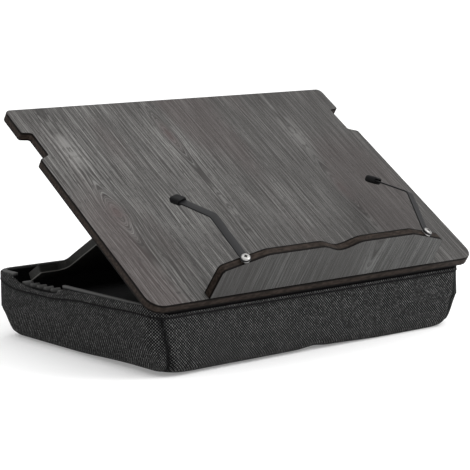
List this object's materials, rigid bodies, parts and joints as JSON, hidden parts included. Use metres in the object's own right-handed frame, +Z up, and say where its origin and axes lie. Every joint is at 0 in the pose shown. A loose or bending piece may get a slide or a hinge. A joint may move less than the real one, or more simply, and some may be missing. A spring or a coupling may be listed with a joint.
{
  "type": "lap desk",
  "caption": "Lap desk: tilting board with page ledge and swinging page arms, propped by a folding support on toothed racks in a storage tray on a soft cushion.",
  "frame": {"origin": "middle of the whole desk's plan, on the surface that the cushion stands on, with the board tilted as in the picture", "axes": "+X to the right along the tray's long side, +Y to the rear, where the board rises, +Z up"},
  "size_m": [0.4, 0.2992, 0.2244],
  "materials": {
    "woven_cloth": "dark grey diagonal weave with lighter flecks",
    "piping_cloth": "dark grey piping",
    "black_plastic": "black moulded plastic",
    "dark_fibreboard": "dark painted fibreboard",
    "grey_laminate": "grey wood-grain laminate with dark edges",
    "zinc_steel": "zinc-plated steel",
    "grey_painted_steel": "dark grey satin",
    "nickel_steel": "bright nickel-plated steel",
    "black_rubber": "black rubber"
  },
  "bodies": {
    "base": {"cushion_pad": "woven_cloth", "side_skirt": "woven_cloth", "band_piping": "piping_cloth", "rim_band": "woven_cloth", "inner_tray": "black_plastic", "rack_left": "black_plastic", "rack_right": "black_plastic", "front_hinge_left_tray_leaf": "zinc_steel", "front_hinge_left_pin": "zinc_steel", "front_hinge_right_tray_leaf": "zinc_steel", "front_hinge_right_pin": "zinc_steel"},
    "board": {"top_board": "grey_laminate", "page_ledge": "grey_laminate", "front_hinge_left_board_leaf": "zinc_steel", "front_hinge_right_board_leaf": "zinc_steel", "support_hinge_left_board_leaf": "zinc_steel", "support_hinge_left_pin": "zinc_steel", "support_hinge_right_board_leaf": "zinc_steel", "support_hinge_right_pin": "zinc_steel", "arm_screw_left": "nickel_steel", "arm_screw_right": "nickel_steel", "arm_washer_left": "nickel_steel", "arm_washer_right": "nickel_steel"},
    "support": {"support_leg": "dark_fibreboard", "support_hinge_left_leg_leaf": "zinc_steel", "support_hinge_right_leg_leaf": "zinc_steel"},
    "arm_left": {"page_arm_left": "grey_painted_steel", "page_arm_tip_left": "black_rubber"},
    "arm_right": {"page_arm_right": "grey_painted_steel", "page_arm_tip_right": "black_rubber"}
  },
  "joints": [
    {"name": "board_tilt", "type": "hinge", "parent": "base", "child": "board", "pos_m": [0, -0.10972, 0.0639], "axis": [1, 0, 0], "range_deg": [-34, 18]},
    {"name": "support_fold", "type": "hinge", "parent": "board", "child": "support", "pos_m": [0, -0.01273, 0.12933], "axis": [1, 0, 0], "range_deg": [-33.84, 63.91]},
    {"name": "arm_swing_left", "type": "hinge", "parent": "board", "child": "arm_left", "pos_m": [-0.112, -0.14254, 0.10272], "axis": [-0.2689, -0.5386, 0.7985], "range_deg": [-95.7, 39.3]},
    {"name": "arm_swing_right", "type": "hinge", "parent": "board", "child": "arm_right", "pos_m": [0.112, -0.14254, 0.10272], "axis": [-0.2689, 0.5386, -0.7985], "range_deg": [-100, 35]}
  ],
  "couplings": [
    {"joint": "support_fold", "follows": "board_tilt", "ratio": -1.8794}
  ]
}
